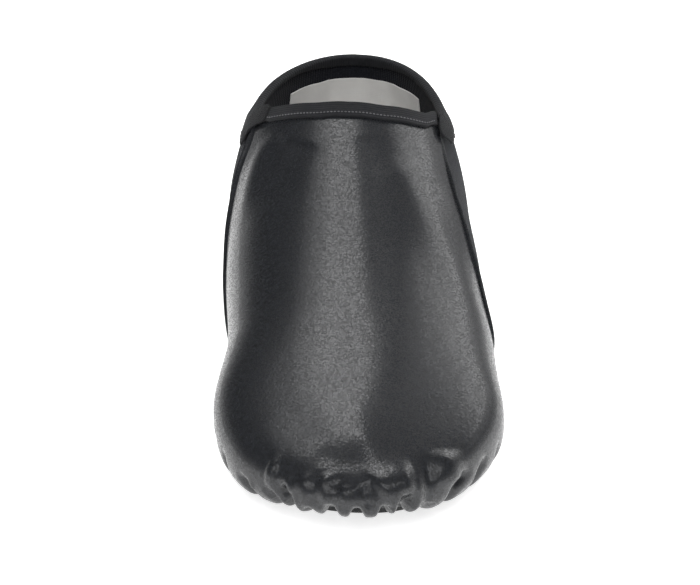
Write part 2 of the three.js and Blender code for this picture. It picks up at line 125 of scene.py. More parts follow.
def station(ring):
    # the rim's and the spine's distance from the toe, and how much of the width is reached there
    toeAngle = ring / last["toeEnd"] * np.pi / 2
    heelAngle = (1 - ring) / (1 - last["heelStart"]) * np.pi / 2
    toeFall, heelFall = np.maximum(0, np.cos(toeAngle)), np.maximum(0, np.cos(heelAngle))
    straightOn = last["toeRadius"] + (ring - last["toeEnd"]) / ringPerLength
    toe, heel = ring < last["toeEnd"], ring > last["heelStart"]
    toeRim = last["toeRadius"] * (1 - toeFall ** (2 / last["toePower"]))
    heelRim = last["length"] - last["heelRadius"] * (1 - heelFall ** (2 / last["heelPower"]))
    toeSpine = last["toeRadius"] - (last["toeRadius"] - last["toeSpine"]) * toeFall
    heelSpine = last["length"] - last["heelRadius"] + (last["heelRadius"] - last["heelSpine"]) * heelFall
    toeReach = np.maximum(0, np.sin(toeAngle)) ** (2 / last["toePower"])
    heelReach = np.maximum(0, np.sin(heelAngle)) ** (2 / last["heelPower"])
    rim = np.where(toe, toeRim, np.where(heel, heelRim, straightOn))
    spine = np.where(toe, toeSpine, np.where(heel, heelSpine, straightOn))
    reach = np.where(toe, toeReach, np.where(heel, heelReach, 1.0))
    return rim, spine, reach


def baseHeight(distance):
    sole = mix(last["forefootSole"], last["heelSole"],
               softStep((distance - last["frontPadEnd"]) / (last["heelPadStart"] - last["frontPadEnd"])))
    return soleFloor(distance) + sole + last["clearance"]


def soleFloor(distance):
    return last["instepHeight"] * section["rise"](distance / last["length"])


def formAt(ring, side, turn):
    # turn -1 is the sole edge, 0 the widest place and 1 the crown
    ring, side, turn = np.broadcast_arrays(*(np.asarray(v, float) for v in (ring, side, turn)))
    rim, spine, reach = station(ring)
    share = rim / last["length"]
    rimX = last["ballWidth"] * (section["centre"](share) + side * reach * section["width"](share) / 2)
    spineX = last["ballWidth"] * section["centre"](spine / last["length"])
    girth = last["instepHeight"] * section["girth"](share)
    angle = np.abs(turn) * np.pi / 2
    across = np.maximum(0, np.cos(angle))
    power = 2 / section["power"](share)
    upX, upY = mix(spineX, rimX, across ** power), mix(spine, rim, across ** power)
    crown = last["instepHeight"] * section["crown"](upY / last["length"])
    upZ = mix(girth, crown, np.sin(angle) ** power)
    low = 2 / last["bottomPower"]
    inset = last["ballWidth"] * section["inset"](share) * (1 - across ** low)
    reachLength = np.maximum(1e-9, np.hypot(rimX - spineX, rim - spine))
    lowX = rimX - (rimX - spineX) / reachLength * inset
    lowY = rim - (rim - spine) / reachLength * inset
    lowZ = mix(girth, baseHeight(lowY), np.sin(angle) ** low)
    up = turn >= 0
    return np.stack([np.where(up, upX, lowX), np.where(up, upY, lowY), np.where(up, upZ, lowZ)], -1)


def underAt(ring, side, share):
    # share 1 is the edge of the form there and 0 its middle line
    edge = formAt(ring, side, -1)
    spine = station(np.asarray(ring, float))[1]
    x = mix(last["ballWidth"] * section["centre"](spine / last["length"]), edge[..., 0], share)
    y = mix(spine, edge[..., 1], share)
    return np.stack([x, y, baseHeight(y)], -1)


def unit(vectors):
    return vectors / np.maximum(1e-9, np.linalg.norm(vectors, axis=-1, keepdims=True))


def normalAt(ring, side, turn):
    ring, side, turn = np.broadcast_arrays(*(np.asarray(v, float) for v in (ring, side, turn)))
    step = 0.002

    def oneSide(hand):
        further, nearer = np.minimum(1, ring + step), np.maximum(0, ring - step)
        along = formAt(further, hand, turn) - formAt(nearer, hand, turn)
        up = formAt(ring, hand, np.minimum(1, turn + step)) - formAt(ring, hand, np.maximum(-1, turn - step))
        return unit(np.cross(along, up) * hand[..., None])
    own = oneSide(side)
    shared = (ring <= 0) | (ring >= 1) | (turn >= 1)
    return np.where(shared[..., None], unit(own + oneSide(-side)), own)


def edgeRing(side, turn):
    return ringAt(last["length"] * np.where(np.asarray(side) < 0, outerEdge(turn), innerEdge(turn)))


def collarTurn(ring, side):
    # the turn of the section where the form reaches the collar edge
    ring, side = np.broadcast_arrays(np.asarray(ring, float), np.asarray(side, float))
    low, high = np.zeros(ring.shape), np.ones(ring.shape)
    for halving in range(30):
        turn = (low + high) / 2
        point = formAt(ring, side, turn)
        over = point[..., 2] > last["instepHeight"] * collarHeight(point[..., 1] / last["length"])
        high, low = np.where(over, turn, high), np.where(over, low, turn)
    return low


def lengthPer(ring, side, turn, way):
    step = 0.004
    other = formAt(ring - step, side, turn) if way == "ring" else formAt(ring, side, turn - step)
    return np.linalg.norm(formAt(ring, side, turn) - other, axis=-1) / step


# The form's own x and distance from the toe are set into the frame by the insole's corner
insoleEdge = underAt(np.linspace(0, 1, 801), 1.0, 1.0)
shift = np.array([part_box("insole")[1].x / mm - insoleEdge[:, 0].max(),
                  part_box("insole")[1].y / mm - insoleEdge[:, 1].max(), 0.0])


# Pieces are grids laid on the form, walled and finished with modifiers

grids = {"mergeWithin": 0.00001, "sharpAngle": math.radians(50), "bevelSegments": 2}

def layGrid(name, points, material, wall=0.0, offset=-1.0, bevel=0.0, turned=False):
    # a grid whose rows and columns are laid on places of the form, in millimetres
    rows, columns = points.shape[:2]
    bpy.ops.object.select_all(action="DESELECT")
    bpy.ops.mesh.primitive_grid_add(x_subdivisions=columns - 1, y_subdivisions=rows - 1, size=1)
    piece = bpy.context.object
    piece.name = piece.data.name = name
    flat = np.zeros(len(piece.data.vertices) * 3)
    piece.data.vertices.foreach_get("co", flat)
    flat = flat.reshape(-1, 3)
    column = np.rint((flat[:, 0] + 0.5) * (columns - 1)).astype(int)
    row = np.rint((flat[:, 1] + 0.5) * (rows - 1)).astype(int)
    laid = (points[row, column] + shift) * mm
    piece.data.vertices.foreach_set("co", laid.ravel())
    piece.data.update()
    bpy.ops.object.mode_set(mode="EDIT")
    bpy.ops.mesh.select_all(action="SELECT")
    bpy.ops.mesh.remove_doubles(threshold=grids["mergeWithin"])
    if wall and not turned:  # the wall grows in towards the foot
        bpy.ops.mesh.flip_normals()
    bpy.ops.object.mode_set(mode="OBJECT")
    if wall:
        solid = piece.modifiers.new("wall", "SOLIDIFY")
        solid.thickness = wall * mm
        solid.offset = offset
        bpy.ops.object.modifier_apply(modifier=solid.name)
    if bevel:
        soft = piece.modifiers.new("edge", "BEVEL")
        soft.width = bevel * mm
        soft.segments = grids["bevelSegments"]
        soft.limit_method = "ANGLE"
        soft.angle_limit = grids["sharpAngle"]
        bpy.ops.object.modifier_apply(modifier=soft.name)
    bpy.ops.object.shade_smooth_by_angle(angle=grids["sharpAngle"])
    piece.data.materials.append(material)
    return piece


def finishPiece(piece, slot, *nodes):
    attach(piece, "root")
    if nodes:
        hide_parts(*nodes)
    print("made", piece.name, len(piece.data.polygons), "faces")
    return piece


# Materials

def makeMaterial(name, colour, roughness, specular=0.5):
    material = bpy.data.materials.new(name)
    material.use_nodes = True
    nodes, links = material.node_tree.nodes, material.node_tree.links
    shader = nodes["Principled BSDF"]
    shader.inputs["Base Color"].default_value = (*colour, 1)
    shader.inputs["Roughness"].default_value = roughness
    shader.inputs["Specular IOR Level"].default_value = specular
    return material, nodes, links, shader


def addNode(nodes, kind, **settings):
    node = nodes.new(kind)
    for key, value in settings.items():
        if hasattr(node, key):
            setattr(node, key, value)
        else:
            node.inputs[key.replace("_", " ")].default_value = value
    return node


def bumpFrom(nodes, links, height, depth, strength=1.0, under=None):
    bump = addNode(nodes, "ShaderNodeBump", Distance=depth, Strength=strength)
    links.new(height, bump.inputs["Height"])
    if under:
        links.new(under.outputs["Normal"], bump.inputs["Normal"])
    return bump


def leatherFinish(name, look):
    # smooth coated leather: pebbles and pores as bump, and a gloss that breaks into specks
    material, nodes, links, shader = makeMaterial(name, look["dark"], look["roughness"], look["specular"])
    place = addNode(nodes, "ShaderNodeTexCoord").outputs["Object"]
    warp = addNode(nodes, "ShaderNodeTexNoise", Scale=look["warpScale"], Detail=2.0)
    links.new(place, warp.inputs["Vector"])
    moved = addNode(nodes, "ShaderNodeVectorMath", operation="MULTIPLY_ADD")
    moved.inputs[1].default_value = (look["warp"],) * 3
    links.new(warp.outputs["Color"], moved.inputs[0])
    links.new(place, moved.inputs[2])
    pebbles = addNode(nodes, "ShaderNodeTexVoronoi", Scale=1 / look["pebble"])
    pebbles.feature = "SMOOTH_F1"
    links.new(moved.outputs["Vector"], pebbles.inputs["Vector"])
    pores = addNode(nodes, "ShaderNodeTexNoise", Scale=1 / look["pore"], Detail=3.0)
    links.new(place, pores.inputs["Vector"])
    waves = addNode(nodes, "ShaderNodeTexNoise", Scale=1 / look["wave"], Detail=2.0)
    links.new(place, waves.inputs["Vector"])
    soft = bumpFrom(nodes, links, waves.outputs["Fac"], look["waveDepth"])
    coarse = bumpFrom(nodes, links, pebbles.outputs["Distance"], look["pebbleDepth"], look["grain"], soft)
    fine = bumpFrom(nodes, links, pores.outputs["Fac"], look["poreDepth"], look["grain"], coarse)
    links.new(fine.outputs["Normal"], shader.inputs["Normal"])
    specks = addNode(nodes, "ShaderNodeTexVoronoi", Scale=1 / look["speck"])
    links.new(place, specks.inputs["Vector"])
    chance = addNode(nodes, "ShaderNodeSeparateColor")
    links.new(specks.outputs["Color"], chance.inputs["Color"])
    gloss = addNode(nodes, "ShaderNodeMapRange")
    gloss.inputs["From Min"].default_value = look["speckFrom"]
    gloss.inputs["From Max"].default_value = look["speckTo"]
    links.new(chance.outputs["Red"], gloss.inputs["Value"])
    shade = addNode(nodes, "ShaderNodeMix", data_type="RGBA")
    shade.inputs[6].default_value = (*look["dark"], 1)
    shade.inputs[7].default_value = (*look["light"], 1)
    links.new(gloss.outputs["Result"], shade.inputs[0])
    links.new(shade.outputs[2], shader.inputs["Base Color"])
    polish = addNode(nodes, "ShaderNodeMix")
    polish.inputs[2].default_value = look["roughness"]
    polish.inputs[3].default_value = look["smooth"]
    links.new(gloss.outputs["Result"], polish.inputs[0])
    links.new(polish.outputs[0], shader.inputs["Roughness"])
    return material


bandsPerScale = 10 / math.pi        # bands of a Wave texture across the UV map at scale 1
sheenRoughness = 0.5


def wovenFinish(name, look):
    # ribs along and across on the UV map, with fuzz over them
    material, nodes, links, shader = makeMaterial(name, look["dark"], look["roughness"], look["specular"])
    texture = addNode(nodes, "ShaderNodeTexCoord")
    weave = None
    for way, count in (("X", look["across"]), ("Y", look["along"])):
        ribs = addNode(nodes, "ShaderNodeTexWave", Scale=count / bandsPerScale, Distortion=look["crook"])
        ribs.bands_direction = way
        ribs.inputs["Detail"].default_value = 1.0
        links.new(texture.outputs["UV"], ribs.inputs["Vector"])
        weave = bumpFrom(nodes, links, ribs.outputs["Fac"], look["ribDepth"], 1.0, weave)
    fuzz = addNode(nodes, "ShaderNodeTexNoise", Scale=1 / look["fuzz"], Detail=4.0)
    links.new(texture.outputs["Object"], fuzz.inputs["Vector"])
    top = bumpFrom(nodes, links, fuzz.outputs["Fac"], look["fuzzDepth"], 1.0, weave)
    links.new(top.outputs["Normal"], shader.inputs["Normal"])
    tone = addNode(nodes, "ShaderNodeTexNoise", Scale=1 / look["patch"], Detail=5.0)
    links.new(texture.outputs["Object"], tone.inputs["Vector"])
    shade = addNode(nodes, "ShaderNodeMix", data_type="RGBA")
    shade.inputs[6].default_value = (*look["dark"], 1)
    shade.inputs[7].default_value = (*look["light"], 1)
    links.new(tone.outputs["Fac"], shade.inputs[0])
    links.new(shade.outputs[2], shader.inputs["Base Color"])
    shader.inputs["Sheen Weight"].default_value = look["sheen"]
    shader.inputs["Sheen Roughness"].default_value = sheenRoughness
    return material


leatherLook = {
    "dark": (0.0050, 0.0055, 0.0065), "light": (0.0225, 0.0240, 0.0272), "roughness": 0.42, "smooth": 0.11,
    "specular": 0.5, "speck": 0.00029, "speckFrom": 0.38, "speckTo": 0.72,
    "warpScale": 1300.0, "warp": 0.0003, "pebble": 0.00075, "pebbleDepth": 0.00003,
    "pore": 0.00035, "poreDepth": 0.00001, "wave": 0.016, "waveDepth": 0.00005, "grain": 0.9,
}
elasticLook = {
    "dark": (0.005, 0.0058, 0.0085), "light": (0.012, 0.0135, 0.019), "roughness": 0.9, "specular": 0.2,
    "across": 72, "along": 230, "crook": 0.6, "ribDepth": 0.00016, "fuzz": 0.0004, "fuzzDepth": 0.00006,
    "patch": 0.004, "sheen": 0.06,
}
tapeLook = {
    "dark": (0.0070, 0.0074, 0.0088), "light": (0.0170, 0.0176, 0.0205), "roughness": 0.8, "specular": 0.25,
    "across": 24, "along": 200, "crook": 0.5, "ribDepth": 0.00008, "fuzz": 0.0004, "fuzzDepth": 0.00005,
    "patch": 0.003, "sheen": 0.05,
}
liningLook = {
    "dark": (0.62, 0.61, 0.59), "light": (0.74, 0.73, 0.71), "roughness": 0.9, "specular": 0.25,
    "across": 60, "along": 110, "crook": 0.2, "ribDepth": 0.00004, "fuzz": 0.0005, "fuzzDepth": 0.00006,
    "patch": 0.006, "sheen": 0.2,
}
threadLook = dict(tapeLook, dark=(0.08, 0.08, 0.086), light=(0.15, 0.15, 0.158), roughness=0.5, sheen=0.1)
soleLook = dict(leatherLook, dark=(0.006, 0.006, 0.007), light=(0.012, 0.012, 0.013), roughness=0.8,
                smooth=0.6, pebble=0.0011, pebbleDepth=0.0001, waveDepth=0.0001)
footbedLook = dict(liningLook, dark=(0.16, 0.155, 0.145), light=(0.24, 0.235, 0.22))

leather = leatherFinish("charcoal_leather", leatherLook)
elastic = wovenFinish("dark_elastic", elasticLook)
tape = wovenFinish("ribbed_tape", tapeLook)
lining = wovenFinish("grey_lining", liningLook)
thread = wovenFinish("dark_thread", threadLook)
rubber = leatherFinish("sole_rubber", soleLook)
footbed = wovenFinish("footbed_cloth", footbedLook)
print("materials ready")

# Where the leather swells round the toe, and how far in millimetres; the rest are turns and places
swell = {"height": 2.7, "sole": 0.5, "foot": 0.45, "shoulder": 0.0, "fade": 0.70, "ends": 0.85,
         "endFade": 0.40}

# Folds of the vamp. A path runs over places (-1 outer, 0 toe tip, 1 inner end of the toe) and
# turns. depth is negative for a ridge; width is its half width in millimetres at both ends; power is how
# square it is; tails are the shares of the path over which it fades in and out.
foldColumns = ("path", "depth", "width", "power", "tails")
foldRows = (
    # open tucks at the tip, where the gathering thread pulls the edge in
    (((-0.122, -1.0), (-0.118, 0.04)), 3.4, (2.2, 1.7), 3, (0.0, 0.25)),
    (((-0.010, -1.0), (-0.010, 0.04)), 3.4, (1.9, 1.5), 3, (0.0, 0.25)),
    (((0.095, -1.0), (0.098, -0.10), (0.104, 0.06)), 3.4, (1.8, 1.5), 3, (0.0, 0.25)),
    (((0.186, -1.0), (0.190, -0.12), (0.205, 0.05), (0.212, 0.14)), 3.6, (2.6, 2.0), 3, (0.0, 0.22)),
    # inner side of the toe
    (((0.300, -0.9), (0.312, -0.06), (0.322, 0.14), (0.392, 0.42)), 1.5, (2.4, 2.6), 2, (0.0, 0.40)),
    (((0.325, -0.3), (0.330, -0.06), (0.342, 0.14)), -0.5, (1.2, 1.4), 2, (0.2, 0.4)),
    (((0.440, -0.9), (0.462, -0.15), (0.510, -0.04), (0.570, 0.0)), 2.6, (1.8, 1.5), 2, (0.0, 0.30)),
    (((0.600, -0.9), (0.620, -0.20), (0.670, 0.02)), 1.8, (1.7, 1.4), 2, (0.0, 0.35)),
    (((0.760, -0.9), (0.765, 0.00)), 1.3, (1.7, 1.4), 2, (0.0, 0.4)),
    (((0.920, -0.9), (0.930, 0.05)), 1.0, (1.9, 1.6), 2, (0.0, 0.4)),
    (((0.475, 0.33), (0.440, 0.16), (0.425, -0.06)), -1.2, (4.8, 4.4), 2, (0.35, 0.30)),
    (((0.060, 0.12), (0.112, 0.23), (0.190, 0.24), (0.262, 0.16)), -1.6, (4.0, 4.2), 2, (0.25, 0.3)),
    # outer side of the toe, where the folds lean towards the tip
    (((-0.300, -0.9), (-0.300, -0.14), (-0.328, 0.03), (-0.350, 0.12)), 3.2, (2.3, 1.6), 3, (0.0, 0.30)),
    (((-0.270, -0.6), (-0.278, -0.10), (-0.306, 0.04), (-0.342, 0.15)), -0.9, (1.4, 1.4), 2, (0.2, 0.2)),
    (((-0.415, 0.12), (-0.362, 0.16)), -1.2, (3.0, 2.8), 2, (0.35, 0.35)),
    (((-0.375, -0.8), (-0.368, -0.20), (-0.425, 0.0)), 1.7, (1.6, 1.2), 2, (0.0, 0.35)),
    (((-0.350, -0.17), (-0.405, -0.02)), -0.5, (1.1, 1.1), 2, (0.2, 0.3)),
    (((-0.490, -0.9), (-0.500, -0.22), (-0.550, -0.08)), 2.4, (2.0, 1.4), 2, (0.0, 0.3)),
    (((-0.455, -0.18), (-0.530, -0.07)), -0.5, (1.1, 1.1), 2, (0.2, 0.3)),
    (((-0.660, -0.9), (-0.665, 0.02)), 1.8, (1.8, 1.4), 2, (0.0, 0.4)),
    (((-0.800, -0.9), (-0.800, 0.06)), 1.4, (1.7, 1.4), 2, (0.0, 0.4)),
    (((-0.940, -0.9), (-0.950, 0.05)), 1.0, (1.9, 1.6), 2, (0.0, 0.4)),
    # lobes at the tip, and the troughs between them
    (((-0.205, -0.9), (-0.222, -0.08)), 2.0, (1.7, 1.2), 2, (0.0, 0.25)),
    (((-0.270, 0.26), (-0.225, 0.12), (-0.190, -0.04)), -1.0, (3.4, 3.0), 2, (0.40, 0.30)),
    (((-0.166, 0.36), (-0.146, 0.16), (-0.134, -0.04)), -1.0, (3.2, 2.8), 2, (0.40, 0.25)),
    (((-0.066, 0.26), (-0.052, -0.02)), -0.9, (3.4, 3.0), 2, (0.40, 0.30)),
    (((-0.212, 0.36), (-0.184, 0.14), (-0.166, -0.1)), 0.8, (2.2, 1.9), 2, (0.4, 0.2)),
    (((-0.114, 0.36), (-0.096, 0.14), (-0.088, -0.1)), 0.8, (2.2, 1.9), 2, (0.4, 0.2)),
    (((0.012, 0.30), (0.018, 0.12), (0.022, -0.1)), 0.8, (2.2, 1.9), 2, (0.4, 0.2)),
    (((-0.300, 0.44), (-0.180, 0.48), (-0.040, 0.48), (0.100, 0.50)), 0.35, (4.5, 4.5), 2, (0.3, 0.3)),
    # long soft folds over the instep
    (((1.597, 0.93), (1.394, 0.90), (1.056, 0.89), (0.860, 0.88)), 0.22, (5.0, 6.0), 2, (0.05, 0.35)),
    (((1.556, 0.80), (1.421, 0.66), (1.282, 0.51), (1.097, 0.27)), -0.5, (8.0, 7.0), 2, (0.15, 0.3)),
    (((1.546, 0.62), (1.421, 0.53), (1.300, 0.40)), 0.35, (5.0, 5.0), 2, (0.2, 0.3)),
    (((-1.639, 0.67), (-1.634, 0.53), (-1.574, 0.44), (-1.440, 0.35)), -0.8, (4.0, 5.0), 2, (0.1, 0.4)),
    (((-1.593, 0.78), (-1.520, 0.66), (-1.400, 0.60)), 0.6, (5.0, 6.0), 2, (0.1, 0.4)),
)


def puffAt(ring, side, turn):
    place = side * ring / last["toeEnd"]
    low = mix(swell["sole"], 1, softStep((turn + 1) / swell["foot"]))
    high = 1 - softStep((turn - swell["shoulder"]) / swell["fade"])
    return swell["height"] * low * high * (1 - softStep((np.abs(place) - swell["ends"]) / swell["endFade"]))


foldLooks = {"lineSteps": 14, "reach": 4}           # past reach half widths a fold is nothing


def foldLine(path):
    place, turn = np.array(path).T
    knots = np.linspace(0, 1, len(path))
    at = np.linspace(0, 1, foldLooks["lineSteps"])
    place, turn = np.interp(at, knots, place), np.interp(at, knots, turn)
    return formAt(np.abs(place) * last["toeEnd"], np.where(place < 0, -1, 1), turn)


def foldsAt(points):
    flat = points.reshape(-1, 3)
    total = np.zeros(len(flat))
    for values in foldRows:
        fold = dict(zip(foldColumns, values))
        line = foldLine(fold["path"])
        lengths = np.linalg.norm(np.diff(line, axis=0), axis=1)
        share = np.append(0, np.cumsum(lengths)) / lengths.sum()
        farthest = lengths.sum() + foldLooks["reach"] * max(fold["width"])
        near = np.abs(flat - line.mean(axis=0)).max(axis=1) < farthest
        spot = flat[near]
        best, along = np.full(len(spot), 1e9), np.zeros(len(spot))
        for a, b, begin, end in zip(line[:-1], line[1:], share[:-1], share[1:]):
            way = b - a
            k = np.clip((spot - a) @ way / (way @ way), 0, 1)
            gap = np.linalg.norm(spot - (a + k[:, None] * way), axis=1)
            closer = gap < best
            best, along = np.where(closer, gap, best), np.where(closer, mix(begin, end, k), along)
        tailIn, tailOut = fold["tails"]
        start = softStep(along / tailIn) if tailIn else 1
        ends = start * (softStep((1 - along) / tailOut) if tailOut else 1)
        total[near] -= fold["depth"] * ends * np.exp(-(best / mix(*fold["width"], along)) ** fold["power"])
    return total.reshape(points.shape[:-1])


# Along its rear edge the leather is turned over: a bead, and a groove behind it
rim = {"bead": 1.0, "beadAt": 1.0, "beadWidth": 0.8, "groove": 0.5, "grooveAt": 3.4, "grooveWidth": 0.9,
       "underCorner": 0.06, "cornerFade": 0.05}


def rimLift(behind, turn):
    bead = rim["bead"] * np.exp(-((behind - rim["beadAt"]) / rim["beadWidth"]) ** 2)
    groove = rim["groove"] * np.exp(-((behind - rim["grooveAt"]) / rim["grooveWidth"]) ** 2)
    past = (turn - last["throatCorner"] + rim["underCorner"]) / rim["cornerFade"]
    return (bead - groove) * (1 - softStep(past))


vampGrid = {"edgePower": 1.35, "toeRings": 190, "backRings": 108, "fan": 0.38, "flangeColumns": 4,
            "lowColumns": 36, "topColumns": 37, "shoulder": 0.2, "footFade": 0.15}


def vampColumns():
    # from the outer sole edge over the crown to the inner one
    flange = np.linspace(last["flange"], 0, vampGrid["flangeColumns"] + 1)[:-1]
    low = np.linspace(-1, vampGrid["shoulder"], vampGrid["lowColumns"] + 1)[:-1]
    top = np.linspace(vampGrid["shoulder"], 1, vampGrid["topColumns"] + 1)
    turn = np.concatenate([np.full(len(flange), -1.0), low, top])
    inward = np.concatenate([flange, np.zeros(len(low) + len(top))])
    side = np.concatenate([-np.ones(len(turn)), np.ones(len(turn) - 1)])
    return side, np.append(turn, turn[-2::-1]), np.append(inward, inward[-2::-1])


# The walls of the heel lean in a little towards the collar. Elsewhere the walls are pressed in, or out
# where depth is negative, about a share of the length and a turn.
lean = {"depth": 0.3, "from": 0.60, "over": 0.12, "foot": -0.05, "rise": 0.30}
pressColumns = ("side", "share", "turn", "depth", "along", "up")
pressRows = (
    (-1, 0.49, 0.00, 0.5, 0.09, 0.35), (-1, 0.66, 0.24, -0.9, 0.07, 0.30), (1, 0.66, 0.24, -1.0, 0.07, 0.30),
    (1, 0.16, -0.16, -1.5, 0.06, 0.35), (1, 0.33, 0.05, -0.9, 0.07, 0.30), (1, 0.90, 0.50, 0.9, 0.10, 0.35),
)


def liftFrom(ring, side, turn, offset):
    drawn = softStep((ring - lean["from"]) / lean["over"]) * softStep((turn - lean["foot"]) / lean["rise"])
    inward = lean["depth"] * drawn
    share = station(ring)[0] / last["length"]
    for values in pressRows:
        press = dict(zip(pressColumns, values))
        near = ((share - press["share"]) / press["along"]) ** 2 + ((turn - press["turn"]) / press["up"]) ** 2
        inward = inward + np.where(side * press["side"] > 0, press["depth"] * np.exp(-near), 0)
    return formAt(ring, side, turn) + normalAt(ring, side, turn) * (offset - inward)[..., None]


def skinPoints(ring, side, turn, inward, offset):
    # inward is how far a place lies in under the foot
    skin = liftFrom(ring, side, turn, offset)
    edge = formAt(ring, side, turn)[..., :2]
    spine = station(ring)[1]
    spineX = last["ballWidth"] * section["centre"](spine / last["length"])
    half = np.maximum(1, np.hypot(edge[..., 0] - spineX, edge[..., 1] - spine))
    under = underAt(ring, side, 1 - inward / half)
    under[..., 2] -= offset
    return np.where((inward > 0)[..., None], under, skin)


def makeVamp():
    side, turn, inward = vampColumns()
    toe = np.linspace(0, vampGrid["fan"], vampGrid["toeRings"] + 1)[:-1]
    back = 1 - (1 - np.linspace(0, 1, vampGrid["backRings"] + 1)) ** vampGrid["edgePower"]
    edge = edgeRing(side, turn)
    toeRings = np.repeat(toe[:, None], len(side), 1)
    ring = np.vstack([toeRings, mix(vampGrid["fan"], edge[None, :], back[:, None])])
    side, turn, inward = (np.broadcast_to(v, ring.shape) for v in (side, turn, inward))
    foot = softStep((turn + 1) / vampGrid["footFade"])
    folds = np.where(inward > 0, 0, foldsAt(formAt(ring, side, turn)))
    lift = puffAt(ring, side, turn) + folds * foot
    lift += rimLift((edge[None, :] - ring) / ringPerLength, turn) * foot
    points = skinPoints(ring, side, turn, inward, lift)
    return layGrid("vamp", points, leather, wall=last["leather"], turned=True)


finishPiece(makeVamp(), "leather", "upper")


# Elastic sides: one band round the heel, tucked under the vamp in front

sides = {"tuck": 6.0, "frontRings": 70, "heelRings": 50, "offset": -0.85, "flangeColumns": 3,
         "lowColumns": 14, "topColumns": 30}


def bandRings(nominal, frontRings, heelRings, start):
    front = mix(start, last["backStart"], np.linspace(0, 1, frontRings + 1)[:, None])
    heel = mix(last["backStart"], 1.0, np.linspace(0, 1, heelRings + 1)[1:, None])
    return np.vstack([front, np.repeat(heel, len(nominal), 1)])


def bothSides(makeSide):
    # the outer side and the inner side joined at the heel
    outer, inner = makeSide(-1.0), makeSide(1.0)
    return tuple(np.vstack([a, b[-2::-1]]) for a, b in zip(outer, inner))


def wallGrid(nominal, inward, frontRings, heelRings, start):
    # turns over 0 are drawn up to the collar edge
    def half(side):
        ring = bandRings(nominal, frontRings, heelRings, start(side, nominal))
        corner = np.array([last["throatCorner"]])
        top = bandRings(corner, frontRings, heelRings, start(side, corner))[:, 0]
        edge = collarTurn(top, side)
        turn = np.where(nominal > 0, nominal / last["throatCorner"] * edge[:, None], nominal)
        return ring, np.full(ring.shape, side), turn, np.broadcast_to(inward, ring.shape)
    return bothSides(half)


def wallColumns(look, lowest=-1.0):
    flange = np.linspace(last["flange"], 0, look["flangeColumns"] + 1)[:-1]
    low = np.linspace(lowest, 0, look["lowColumns"] + 1)[:-1]
    top = np.linspace(0, last["throatCorner"], look["topColumns"] + 1)
    nominal = np.concatenate([np.full(len(flange), -1.0), low, top])
    return nominal, np.concatenate([flange, np.zeros(len(nominal) - len(flange))])


def sideFront(side, turn):
    return edgeRing(side, turn) - sides["tuck"] * ringPerLength


def makeSides():
    nominal, inward = wallColumns(sides)
    ring, side, turn, inward = wallGrid(nominal, inward, sides["frontRings"], sides["heelRings"], sideFront)
    points = skinPoints(ring, side, turn, inward, np.full(ring.shape, sides["offset"]))
    return layGrid("elastic_sides", points, elastic, wall=last["wall"], turned=True)


finishPiece(makeSides(), "elastic", "upper")

# Lining of the vamp, which lies inside its leather

vampLining = {"rings": 120, "columns": 60, "offset": -1.25, "thickness": 0.9, "short": 1.5, "foldShare": 1.15,
              "toeRoom": 4.6, "roomTop": 0.55, "roomFade": 0.3, "roomEnd": 1.1, "roomEndFade": 0.08}


def makeVampLining():
    turns = np.linspace(-1, 1, vampLining["columns"] + 1)
    side = np.concatenate([-np.ones(len(turns)), np.ones(len(turns) - 1)])
    turn = np.append(turns, turns[-2::-1])
    end = edgeRing(side, turn) - vampLining["short"] * ringPerLength
    ring = end[None, :] * np.linspace(0, 1, vampLining["rings"] + 1)[:, None]
    side, turn = (np.broadcast_to(v, ring.shape) for v in (side, turn))
    folds = np.minimum(0, foldsAt(formAt(ring, side, turn)))
    toeRoom = vampLining["toeRoom"] * softStep((vampLining["roomTop"] - turn) / vampLining["roomFade"])
    toeRoom = toeRoom * softStep((last["toeEnd"] * vampLining["roomEnd"] - ring) / vampLining["roomEndFade"])
    offset = vampLining["offset"] + np.minimum(vampLining["foldShare"] * folds, -toeRoom)
    points = skinPoints(ring, side, turn, np.zeros(ring.shape), offset)
    return layGrid("vamp_lining", points, lining, wall=vampLining["thickness"], turned=True)


finishPiece(makeVampLining(), "lining", "upper")

# Grey lining round the inside of the heel, with slack folds

heelLining = {"outerRing": 0.857, "innerRing": 0.843, "heelRings": 60, "flangeColumns": 0, "lowColumns": 14,
              "topColumns": 20, "offset": -2.35, "thickness": 0.5, "short": 8.3, "lowest": -0.8,
              "slack": 0.45, "slackRuns": 95, "slackShift": 1.3, "slackAt": 0.93, "slackOver": 0.05,
              "slackFoot": 0.2}


def loweredTurn(ring, side, turn, nominal, drop):
    # the top edge comes down by drop millimetres, and the places between it and turn 0 in proportion
    leastTurn = 0.05
    perTurn = lengthPer(ring, side, np.maximum(turn, leastTurn), "turn")
    lowered = turn - drop / perTurn * nominal.clip(0) / last["throatCorner"]
    return np.where(turn > 0, np.maximum(0, lowered), turn)


def makeHeelLining():
    nominal, inward = wallColumns(heelLining, heelLining["lowest"])

    def half(side):
        front = heelLining["outerRing"] if side < 0 else heelLining["innerRing"]
        ring = np.linspace(front, 1, heelLining["heelRings"] + 1)
        upTo = collarTurn(ring, side)[:, None]
        turn = np.where(nominal > 0, nominal / last["throatCorner"] * upTo, nominal)
        ring = np.repeat(ring[:, None], len(nominal), 1)
        return ring, np.full(ring.shape, side), turn, np.broadcast_to(inward, ring.shape)
    ring, side, turn, inward = bothSides(half)
    turn = loweredTurn(ring, side, turn, nominal, heelLining["short"])
    slack = heelLining["slack"] * np.sin(ring * heelLining["slackRuns"] + side * heelLining["slackShift"])
    slack = slack * np.exp(-((ring - heelLining["slackAt"]) / heelLining["slackOver"]) ** 2)
    slack = slack * softStep(turn / heelLining["slackFoot"])
    points = skinPoints(ring, side, turn, inward, heelLining["offset"] + slack)
    return layGrid("heel_lining", points, lining, wall=heelLining["thickness"], turned=True)


